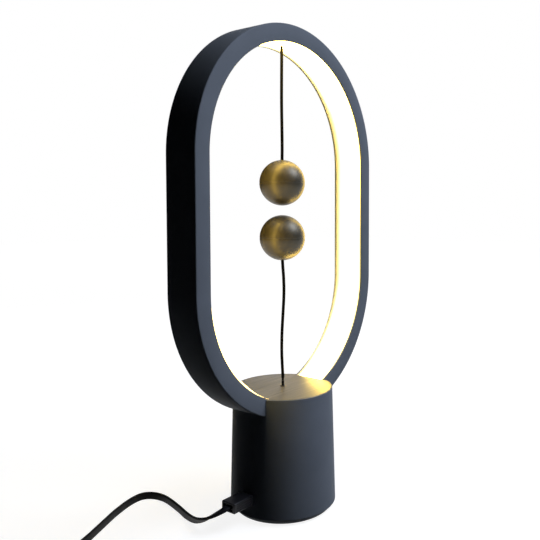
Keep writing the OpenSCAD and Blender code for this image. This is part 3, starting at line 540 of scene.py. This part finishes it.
# %% Finishes inside
plastic_colours = {
    "strip": (0.72, 0.72, 0.68), "led": (0.80, 0.66, 0.18), "black_part": (0.006, 0.006, 0.007),
    "inner_plastic": (0.060, 0.062, 0.066), "board": (0.010, 0.110, 0.036),
    "wire_red": (0.42, 0.012, 0.010), "wire_white": (0.70, 0.70, 0.68),
    "wire_blue": (0.020, 0.075, 0.36), "wire_black": (0.012, 0.012, 0.012),
    "white_plastic": (0.74, 0.74, 0.72), "red_plastic": (0.46, 0.020, 0.014),
}
metal_colours = {
    "steel": (0.58, 0.58, 0.59), "iron": (0.22, 0.22, 0.23), "can": (0.66, 0.67, 0.68),
    "tin": (0.62, 0.62, 0.63), "gold": (0.80, 0.58, 0.24), "magnet": (0.60, 0.60, 0.61),
}


def lighter(colour, factor, extra=0.0):
    """A colour made lighter by a factor, and by a little more."""
    return tuple(min(1.0, c * factor + extra) for c in colour)


for slot, colour in plastic_colours.items():
    finish(slot, colour, lighter(colour, 1.12, 0.004), rough=(0.35, 0.5), patch=8 * mm,
           grain=0.3 * mm, depth=0.008 * mm)
for slot, colour in metal_colours.items():
    finish(slot, colour, lighter(colour, 1.1), rough=(0.22, 0.36), patch=4 * mm,
           grain=0.15 * mm, depth=0.004 * mm, Metallic=1.0)
finish("foam", (0.016, 0.016, 0.017), (0.030, 0.030, 0.031), rough=(0.85, 0.98), patch=3 * mm,
       grain=0.7 * mm, depth=0.12 * mm)
print("finishes:", len(finishes))

# %% [markdown]
# ## Braid of the cords
#
# The two cords are thin braided polyester. A braid is two sets of strands that wind opposite ways, so
# its height is the higher of two slanting waves, one for each way. The waves run on the angle round
# the cord and the height along it. Strands as real tubes would be thinner than a point of the
# picture, so dents in the surface are enough.

# %% Cord finish
strand_pairs = 6
braid_step = 1.1 * mm
braid_depth = 0.05 * mm

tree, shader = finish("cord", (0.0009, 0.0009, 0.0011), (0.0018, 0.0018, 0.0020), rough=(0.6, 0.75),
                      patch=5 * mm, grain=0.2 * mm, Specular_IOR_Level=0.05)
axes = axes_of(tree)
angle_round = reckon(tree, "ARCTAN2", axes["Y"], axes["X"])
strands = []
for way in (-1, 1):
    wound = reckon(tree, "MULTIPLY", angle_round, way * strand_pairs)
    slant = reckon(tree, "MULTIPLY_ADD", axes["Z"], 2 * math.pi / braid_step, wound)
    strands.append(reckon(tree, "SINE", slant))
dent(tree, shader, reckon(tree, "MAXIMUM", *strands), braid_depth)
print("strands in the braid:", 2 * strand_pairs)

# %% [markdown]
# ## Dressing the lead
#
# Every piece made here takes its finish, moves with one body of the measured model, and stands for
# the solids that it covers, which are then hidden. The lead moves with its plug, and stands for the
# three measured lengths.

# %% Dressed lead
def dress(piece, body, slot, *stands_for):
    """Puts a finished piece on its body, in place of its measured solids."""
    piece.data.materials.clear()
    piece.data.materials.append(finishes[slot])
    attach(piece, body)
    if stands_for:
        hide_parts(*stands_for)
    print(piece.name, "faces:", len(piece.data.polygons))


dress(lead, "lead", "lead_jacket", "lead_cord", "lead_coil", "lead_tail")

# %% [markdown]
# ## The band round the roll
#
# A strip of soft plastic holds the roll together. Its flat outline is carried round a rounded box
# that fits over the windings on one side of the roll, and the strip is closed on itself.

# %% Band round the roll
tie_width = 5 * mm
tie_thickness = 0.4 * mm
tie_corner = 1.2 * mm
tie_edge = 0.15 * mm
tie_slack = 0.1 * mm
strand_half = lead_thickness / 2 + 0.5 * mm
tie_inner = roll_inner * mm - strand_half
tie_outer = (roll_inner + roll_pitch * roll_turns) * mm + strand_half
tie_angle = math.radians(roll_start - 90)

outward = Vector((math.cos(tie_angle), math.sin(tie_angle), 0))
across = Vector((-outward.y, outward.x, 0))
tie_centre = Vector((*roll_centre, roll_height)) * mm + outward * (tie_inner + tie_outer) / 2
loop_outline = box_outline(tie_outer - tie_inner + tie_thickness,
                           lead_width + tie_slack + tie_thickness, tie_corner, steps=6)
strip_outline = box_outline(tie_width, tie_thickness, tie_edge, steps=2)
rings = []
for i, (u, v) in enumerate(loop_outline):
    before, after = loop_outline[i - 1], loop_outline[(i + 1) % len(loop_outline)]
    normal = Vector((after[1] - before[1], before[0] - after[0])).normalized()
    rings.append([
        tie_centre + outward * (u + t * normal.x) + Vector((0, 0, v + t * normal.y)) + across * w
        for w, t in strip_outline
    ])
roll_band = skin("roll_band", rings, loop=True)
dress(roll_band, "lead", "grip", "coil_tie")

# %% [markdown]
# ## The small plug
#
# The small plug is a soft box with rounded edges, a hollow at its back where the lead comes out, and
# grooves along both sides for the fingers. A box skin is made from rings that shrink at both ends,
# and the hollow and the grooves are cut out of it. A cut is a boolean modifier, and it is applied at
# once, so that only the result is kept.

# %% Boxes and cuts
def in_mm(*numbers):
    """Millimetres turned into metres."""
    return tuple(n * mm for n in numbers)


def soft_box(name, low, high, radius, steps=4):
    """Box between two corners, long in x, with all of its edges rounded."""
    size = Vector(high) - Vector(low)
    centre = (Vector(high) + Vector(low)) / 2
    rings = []
    for end, way in ((low[0], 1), (high[0], -1)):
        for k in range(steps + 1)[::way]:
            a = math.radians(90 * k / steps)
            shrink = radius * (1 - math.sin(a))
            x = end + way * radius * (1 - math.cos(a))
            ring = box_outline(size.y - 2 * shrink, size.z - 2 * shrink, radius * 1.2)
            rings.append([(x, centre.y + u, centre.z + v) for u, v in ring])
    return skin(name, rings)


def sharp_box(low, high):
    """Plain box, used only to cut with."""
    (x0, y0, z0), (x1, y1, z1) = low, high
    return skin("cutter", [
        [(x, y0, z0), (x, y1, z0), (x, y1, z1), (x, y0, z1)] for x in (x0, x1)
    ])


def carve(piece, *cutters):
    """Cuts the cutters out of a piece, for good, and removes them."""
    for cutter in cutters:
        cut = piece.modifiers.new("cut", "BOOLEAN")
        cut.object = cutter
        cut.solver = "EXACT"
        bpy.context.view_layer.update()
        whole = piece.evaluated_get(bpy.context.evaluated_depsgraph_get())
        carved = bpy.data.meshes.new_from_object(whole)
        piece.modifiers.clear()
        piece.data = carved
        bpy.data.objects.remove(cutter)
    shade(piece)
    print(piece.name, "cuts:", len(cutters))


print("a millimetre in the scene:", in_mm(1))

# %% [markdown]
# The plug's corners come from the measured model. The hollow leaves a thin wall all round, and the
# grooves are spread over the height with a margin at both ends.

# %% Small plug
def measured(name):
    """A measured piece's lowest and highest corner, in millimetres."""
    return [tuple(round(c / mm, 2) for c in corner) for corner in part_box(name)]


plug_low, plug_high = measured("plug_grip")
plug_round = 0.8 * mm
plug_height = plug_high[2] - plug_low[2]
cut_overrun = 1
hollow_wall = (1.8, 1.2)
hollow_depth = 1.6
groove_rows = 4
groove_height = 0.67
groove_step = plug_height / (groove_rows + 0.5)
groove_margin = 3
groove_depth = 0.5

plug = soft_box("plug_body", in_mm(*plug_low), in_mm(*plug_high), plug_round)
cutters = [sharp_box(
    in_mm(plug_low[0] - cut_overrun, plug_low[1] + hollow_wall[0], plug_low[2] + hollow_wall[1]),
    in_mm(plug_low[0] + hollow_depth, plug_high[1] - hollow_wall[0], plug_high[2] - hollow_wall[1]),
)]
for side in (-1, 1):
    y = sorted(side * (plug_high[1] + k * groove_depth) for k in (-1, 1))
    for row in range(groove_rows):
        z = plug_low[2] + (row + 0.75) * groove_step
        cutters.append(sharp_box(
            in_mm(plug_low[0] + groove_margin, y[0], z),
            in_mm(plug_high[0] - groove_margin, y[1], z + groove_height),
        ))
carve(plug, *cutters)
dress(plug, "lead", "grip", "plug_grip")

# %% [markdown]
# ## The large plug
#
# The large plug lies at the end of the lead, turned away from the roll. It is made at the origin and
# then turned into place, mesh and all, so that its finish keeps its scale. Its grooves are upright.

# %% Large plug
usb_length = 24
usb_half = 8
usb_height = 8
usb_round = 1.3 * mm
usb_place = in_mm(-225, -42, 0)
usb_turn = math.radians(203)
usb_grooves = 4
usb_groove_start = 5
usb_groove_step = 3.5
usb_groove_width = 1.6

usb = soft_box("computer_plug_body", in_mm(0, -usb_half, 0), in_mm(usb_length, usb_half, usb_height),
               usb_round)
cutters = []
for side in (-1, 1):
    y = sorted(side * (usb_half + k * groove_depth) for k in (-1, 1))
    for k in range(usb_grooves):
        x = usb_groove_start + usb_groove_step * k
        cutters.append(sharp_box(
            in_mm(x, y[0], -cut_overrun),
            in_mm(x + usb_groove_width, y[1], usb_height + cut_overrun),
        ))
carve(usb, *cutters)
usb.data.transform(Matrix.Translation(usb_place) @ Matrix.Rotation(usb_turn, 4, "Z"))
dress(usb, "lead", "grip", "usb_a_grip")

# %% [markdown]
# ## The two hanging cords
#
# Each cord is a thin tube along its line. The upper one is pulled straight by its ball. The lower one
# only just holds its ball down, so it keeps a slight wave from the box it came in. A curve with a
# round bevel would do as well, but the helper that made the lead makes these in one line.

# %% Cords
cord_radius = 1.3 * mm
cord_sides = 20
cord_steps = 8
upper_route = [
    (383.68, 0), (378, 0), (360, -0.15), (340, -0.25), (320, -0.05), (304, 0.1), (292, 0), (282.7, 0),
]
lower_route = [
    (107.92, 0), (112, -0.1), (121, -0.55), (132, -0.85), (146, -0.6), (160, 0.15), (174, 0.95),
    (184, 1.2), (194, 0.9), (203, 0.3), (209, 0), (217.3, 0),
]
sway_way = Vector((math.cos(camera_turn), -math.sin(camera_turn)))
round_outline = [
    Vector((cord_radius * math.cos(math.radians(a)), cord_radius * math.sin(math.radians(a))))
    for a in range(0, 360, 360 // cord_sides)
]


def hanging(name, heights_and_sways, body, *stands_for):
    """A cord along upright points, each a height and a sway to one side, in millimetres."""
    points = [(sway * sway_way.x, sway * sway_way.y, z) for z, sway in heights_and_sways]
    line = [p * mm for p in smooth(points, cord_steps)]
    cord = skin(name, along_line(line, round_outline, square_to=Vector((0, 1, 0))))
    dress(cord, body, "cord", *stands_for)


hanging("upper_hanging_cord", upper_route, "upper_ball", "upper_cord")
hanging("lower_hanging_cord", lower_route, "lower_ball", "lower_cord")

# %% [markdown]
# ## The oval of the ring
#
# The ring follows an oval of two half circles and two straight sides. Its two feet go down into slots
# in the base, so the oval stops a little before its lowest point on both sides. Its outer size comes
# from the measured model. An outline for it is a list of (radius, depth) corners.

# %% Oval
ring_low, ring_high = measured("ring_shell")
ring_outer = ring_high[0]
ring_half = -ring_low[1]
ring_face = 14
ring_inner = ring_outer - ring_face
straight_side = 100
high_centre = (ring_high[2] - ring_outer) * mm
low_centre = (ring_high[2] - ring_outer - straight_side) * mm
foot_angle = 10.6
low_steps = 40
high_steps = 90


def around_oval(outline, overrun=0.0):
    """Rings of a (radius, depth) outline along the oval, from the left foot over the top to the right."""
    first = 270 - foot_angle + overrun
    lower = [first + (180 - first) * i / low_steps for i in range(low_steps + 1)]
    stations = [(a, low_centre) for a in lower]
    stations += [(180 - 180 * i / high_steps, high_centre) for i in range(high_steps + 1)]
    stations += [(180 - a, low_centre) for a in reversed(lower)]
    rings = []
    for angle, centre in stations:
        a = math.radians(angle)
        rings.append([(u * math.cos(a), v, centre + u * math.sin(a)) for u, v in outline])
    return rings


def outline_mm(*corners, steps=4):
    """Rounded outline through (u, v, radius) corners given in millimetres."""
    return rounded([(u * mm, v * mm, r * mm) for u, v, r in corners], steps)


print("ring in mm:", 2 * ring_outer, "wide,", 2 * ring_half, "deep")

# %% [markdown]
# ## The ring
#
# The ring is a channel: its front face and outer wall are one moulding, and a flat cover closes the
# back, with a seam as fine as a hair between them. Each has a low rib that holds one edge of the
# light band. Both are outlines carried along the oval.

# %% Ring
face_back = ring_high[1]
rib_top = measured("ring_back_cover")[0][1]
rib_near = measured("diffuser")[1][0]
rib_far = 99.3
wall_inner = 108.4
seam = 0.02

shell = skin("ring_channel", around_oval(outline_mm(
    (ring_inner, -ring_half, 0.45), (ring_outer, -ring_half, 0.9),
    (ring_outer, face_back - seam, 0.2), (wall_inner, face_back - seam, 0),
    (wall_inner, -face_back, 0.3), (rib_far, -face_back, 0), (rib_far, -rib_top, 0.1),
    (rib_near, -rib_top, 0.1), (rib_near, -face_back, 0), (ring_inner, -face_back, 0.15),
)))
dress(shell, "lamp", "ring_plastic", "ring_shell")

cover = skin("ring_cover", around_oval(outline_mm(
    (ring_inner, face_back, 0.15), (rib_near, face_back, 0), (rib_near, rib_top, 0.1),
    (rib_far, rib_top, 0.1), (rib_far, face_back, 0), (ring_outer, face_back, 0.2),
    (ring_outer, ring_half, 0.8), (ring_inner, ring_half, 0.45),
)))
dress(cover, "lamp", "ring_plastic", "ring_back_cover")

# %% [markdown]
# ## Turned pieces
#
# The base, the disc, the eyelet and the balls are round. On a lathe they would be cut to one outline
# while they turn, and this helper works like that: it carries an outline of (radius, height) points
# round the upright axis. A round rod to cut holes with is made in the same way.

# %% Lathe
rod_turns = 32


def lathe(name, outline, turns, centre_z=0.0):
    """Turned piece: a closed outline of (radius, height) carried round the upright axis."""
    rings = []
    for i in range(turns):
        a = 2 * math.pi * i / turns
        rings.append([(u * math.cos(a), u * math.sin(a), centre_z + v) for u, v in outline])
    return skin(name, rings, loop=True)


def rod(radius, low, high):
    """Upright rod on the axis, in millimetres, used only to cut with."""
    outline = [(0.0, low), (radius, low), (radius, high), (0.0, high)]
    return lathe("cutter", [in_mm(*point) for point in outline], rod_turns)


print("steps round a cutting rod:", rod_turns)

# %% [markdown]
# ## The light band
#
# The milky strip lies level with the ring's inner edges at the top. Lower down it stands a little
# proud of them, and draws back again at the disc, as a bent strip does that is held at its ends. So a
# bright line shows behind the ring's front face there. Two outlines are carried along the oval, and
# the strip passes from one to the other by its height. The upper cord goes through a small hole.

# %% Light band
proud_by = 1.7
band_side = 14.1
band_back = 14.25
band_round = 0.8
level_above = 250 * mm
level_below = 101 * mm
upper_change = 80 * mm
lower_change = 13 * mm
cord_hole = 1.4
cord_hole_span = (384, 390)


def band_rings(inner_radius):
    """The strip's outline, rounded towards the inside, along the oval."""
    return around_oval(outline_mm(
        (inner_radius, -band_side, band_round), (rib_near, -band_back, 0),
        (rib_near, band_back, 0), (inner_radius, band_side, band_round)))


rings = []
for level_ring, proud_ring in zip(band_rings(ring_inner), band_rings(ring_inner - proud_by)):
    height = level_ring[0][2]
    share = min((level_above - height) / upper_change, (height - level_below) / lower_change)
    share = min(1, max(0, share))
    rings.append([Vector(a).lerp(Vector(b), share) for a, b in zip(level_ring, proud_ring)])
light_band = skin("light_band", rings)
carve(light_band, rod(cord_hole, *cord_hole_span))
dress(light_band, "lamp", "diffuser", "diffuser")

# %% [markdown]
# ## The base
#
# The base is a cup with a slight draft, wider at its foot, with a bevel round the bottom so that it
# seems to float on its foam pad. It is turned like a pot. The slots for the ring and the window for
# the plug are cut out afterwards, as a mould's cores would leave them.

# %% Base cup
base_low, base_high = measured("base_housing")
disc_low, disc_high = measured("top_disc")
foot_radius = base_high[0]
bevel = (40.1, 5.0)
rim_radius = 42.0
seat_radius = 41.4
ledge_radius = 39.4
ledge_under = 97.2
wall_top = (39.78, 96.2)
wall_foot = (42.02, 7.0)
lip = (39.5, 4.0)
base_turns = 144
clearance = 0.1
slot_overrun = 8.0
window_low = (-46, -4.2, 18.1)
window_high = (-39, 4.2, 21.9)


def ring_slot():
    """The ring's own space with a hair of clearance, to cut with."""
    near, far = ring_inner - clearance, ring_outer + clearance
    deep = ring_half + clearance
    return skin("cutter", around_oval(outline_mm(
        (near, -deep, 0), (far, -deep, 0), (far, deep, 0), (near, deep, 0)), overrun=slot_overrun))


cup = lathe("base_cup", outline_mm(
    (bevel[0], base_low[2], 0.4), (foot_radius, bevel[1], 0.9), (rim_radius, base_high[2], 0.55),
    (seat_radius, base_high[2], 0), (seat_radius, disc_low[2], 0), (ledge_radius, disc_low[2], 0),
    (ledge_radius, ledge_under, 0), (*wall_top, 0), (*wall_foot, 0), (*lip, 0),
    (lip[0], base_low[2], 0.2), steps=5), base_turns)
carve(cup, ring_slot(), sharp_box(in_mm(*window_low), in_mm(*window_high)))
dress(cup, "lamp", "base_plastic", "base_housing")

# %% [markdown]
# ## The disc and its eyelet
#
# The disc of veneer lies in the top of the cup, a hair above its rim, notched where the ring goes in.
# The eyelet is a small black collar that flares at its foot and keeps the cord off the wood.

# %% Disc and eyelet
eyelet_low, eyelet_high = measured("cord_eyelet")
eyelet_bore = 1.4
eyelet_neck = 2.0
eyelet_turns = 48
disc_radius = 41.35

disc = lathe("veneer_disc", outline_mm(
    (0, disc_low[2], 0), (disc_radius, disc_low[2], 0.1), (disc_radius, disc_high[2], 0.35),
    (0, disc_high[2], 0)), base_turns)
carve(disc, ring_slot(), rod(eyelet_neck, disc_low[2] - cut_overrun, disc_high[2] + cut_overrun))
dress(disc, "lamp", "disc", "top_disc")

eyelet = lathe("eyelet_collar", outline_mm(
    (eyelet_bore, eyelet_low[2], 0), (eyelet_neck, eyelet_low[2], 0), (eyelet_neck, disc_high[2], 0),
    (eyelet_high[0], disc_high[2], 0.1), (eyelet_neck, eyelet_high[2], 0.15),
    (eyelet_bore, eyelet_high[2], 0.15), steps=3), eyelet_turns)
dress(eyelet, "lamp", "black_part", "cord_eyelet")

# %% [markdown]
# ## The balls
#
# Each ball is two hollow halves glued at the middle, with a seam as fine as a hair. The half on the
# cord's side has a hole at its pole, and the other holds the magnet behind a closed pole. A ready
# sphere has neither a seam nor a wall, so a half is turned from an outline that runs down the outside
# and back up the inside.

# %% Balls
upper_corner = measured("upper_ball_magnet_half")[1]
lower_corner = measured("lower_ball_magnet_half")[0]
ball_outer = upper_corner[0] * mm
upper_centre = upper_corner[2] * mm
lower_centre = lower_corner[2] * mm
ball_inner = 16.8 * mm
seam_groove = 0.12 * mm
seam_gap = 0.02 * mm
arc_steps = 40
ball_turns = 180


def arc_angles(first, last):
    """Evenly spaced angles from the pole's side of an arc to its other end."""
    return [first + (last - first) * i / arc_steps for i in range(arc_steps + 1)]


def ball_half(name, centre_z, up, hole, body, stands_for):
    """Half a ball, above (up 1) or below (up -1) its middle, with a hole at its pole."""
    equator = math.pi / 2
    outside = arc_angles(math.asin(hole / ball_outer), equator - 0.5 * seam_groove / ball_outer)
    inside = arc_angles(math.asin(hole / ball_inner), equator)
    outline = [(ball_outer * math.sin(a), up * ball_outer * math.cos(a)) for a in outside]
    outline[-1] = (ball_outer - seam_groove, up * seam_gap)
    outline += [(ball_inner * math.sin(a), up * (ball_inner * math.cos(a) + seam_gap))
                for a in reversed(inside)]
    dress(lathe(name, outline, ball_turns, centre_z), body, "ball", stands_for)


ball_half("upper_ball_top", upper_centre, 1, cord_radius, "upper_ball", "upper_ball_cord_half")
ball_half("upper_ball_bottom", upper_centre, -1, 0.0, "upper_ball", "upper_ball_magnet_half")
ball_half("lower_ball_bottom", lower_centre, -1, cord_radius, "lower_ball", "lower_ball_cord_half")
ball_half("lower_ball_top", lower_centre, 1, 0.0, "lower_ball", "lower_ball_magnet_half")

# %% [markdown]
# ## Finishes on the measured pieces
#
# The rest of the measured pieces have the right shape already. Each takes the finish that the part's
# record names for it.

# %% Measured pieces
slot_of = {row["node"]: row["material_slot"] for row in frame["record"]["subparts"]}
for name, piece in frame["nodes"].items():
    piece.data.materials.clear()
    piece.data.materials.append(finishes[slot_of[name]])
print("measured pieces dressed:", len(frame["nodes"]))

# %% [markdown]
# ## The white surround
#
# The photograph's background is pure white, but light from all sides would wash out the dark side of
# the lamp. So the white is there for the camera and for shiny surfaces, and hardly any of it is there
# for light that bounces.

# %% Surround
white = (1.0, 1.0, 1.0)
surround_bounce = (0.005, 0.005, 0.005)


def toward(tree):
    """1 for rays from the camera, mirrors and glass, and 0 for light that bounces."""
    rays = node(tree, "ShaderNodeLightPath").outputs
    seen_or_mirrored = reckon(tree, "MAXIMUM", rays["Is Camera Ray"], rays["Is Glossy Ray"])
    return reckon(tree, "MAXIMUM", seen_or_mirrored, rays["Is Transmission Ray"])


world = bpy.data.worlds.new("white_surround")
world.use_nodes = True
bpy.context.scene.world = world
tree = world.node_tree
surround = blended(tree, toward(tree), surround_bounce, white)
tree.links.new(surround, tree.nodes["Background"].inputs["Color"])
print("surround, to light that bounces:", surround_bounce[0])

# %% [markdown]
# ## The floor
#
# The floor is plain matt paper, and the same switch keeps it dark to light that bounces. Near the
# base it takes the lamp's shadow. Further out it gives off a little light of its own, so that it
# turns white and no horizon shows.

# %% Floor
floor_reach = 4.0
floor_depth = 2 * mm
paper_bounce = (0.03, 0.03, 0.03)
paper_seen = (0.30, 0.30, 0.30)
lift_span = (0.15, 0.8)
lift_range = (0.88, 1.0)

floor_outline = (
    (-floor_reach, -floor_depth), (floor_reach, -floor_depth), (floor_reach, 0), (-floor_reach, 0))
floor = skin("floor", [[(x, y, z) for x, z in floor_outline] for y in (-floor_reach, floor_reach)])
paper = bpy.data.materials.new("paper")
paper.use_nodes = True
tree = paper.node_tree
shader = tree.nodes["Principled BSDF"]
seen = toward(tree)
place = node(tree, "ShaderNodeTexCoord").outputs["Object"]
away = node(tree, "ShaderNodeVectorMath", {0: place}, operation="LENGTH").outputs["Value"]
lift = reckon(tree, "MULTIPLY", from_to(tree, away, *lift_span, *lift_range), seen)
tree.links.new(blended(tree, seen, paper_bounce, paper_seen), shader.inputs["Base Color"])
tree.links.new(lift, shader.inputs["Emission Strength"])
shader.inputs["Emission Color"].default_value = (*white, 1.0)
shader.inputs["Roughness"].default_value = 0.9
shader.inputs["Specular IOR Level"].default_value = 0.0
floor.data.materials.append(paper)
print("floor in m:", 2 * floor_reach)

# %% [markdown]
# ## The key light
#
# One large soft light stands to the right of the camera and high. It is a little blue, so the shell
# looks cool beside the warm light of the ring, which lights the rest.

# %% Key light
key_way = Vector((0.395, -0.625, 0.673)).normalized()
key_distance = 1.5
key_size = 0.9
key_watts = 23
key_colour = (0.89, 0.96, 1.12)
lamp_middle = Vector((0, 0, 0.2))

key = bpy.data.objects.new("key", bpy.data.lights.new("key", "AREA"))
bpy.context.scene.collection.objects.link(key)
key.location = lamp_middle + key_way * key_distance
key.rotation_euler = (-key_way).to_track_quat("-Z", "Y").to_euler()
key.data.shape = "SQUARE"
key.data.size = key_size
key.data.energy = key_watts
key.data.color = key_colour
print("key light in m from the lamp:", key_distance)

# %% [markdown]
# ## The black flag
#
# A photographer keeps the dark side of a lamp dark with black cards, called flags. Here one curved
# flag of black felt stands round the lamp, open to its right. The camera looks through it, but light
# and mirrors meet it, so the ring's left side stays nearly black.

# %% Black flag
flag_inner = 1.30
flag_outer = 1.32
flag_height = 1.8
flag_arc = range(50, 331, 10)
felt_black = (0.004, 0.004, 0.004, 1)

flag_outline = (
    (flag_inner, 0), (flag_outer, 0), (flag_outer, flag_height), (flag_inner, flag_height))
flag = skin("flag", [
    [(r * math.cos(math.radians(a)), r * math.sin(math.radians(a)), z) for r, z in flag_outline]
    for a in flag_arc
])
felt = bpy.data.materials.new("felt")
felt.use_nodes = True
shader = felt.node_tree.nodes["Principled BSDF"]
shader.inputs["Base Color"].default_value = felt_black
shader.inputs["Specular IOR Level"].default_value = 0.0
flag.data.materials.append(felt)
flag.visible_camera = False
bpy.context.scene.view_settings.view_transform = "Standard"
print("flag's arc in degrees:", flag_arc[-1] - flag_arc[0])
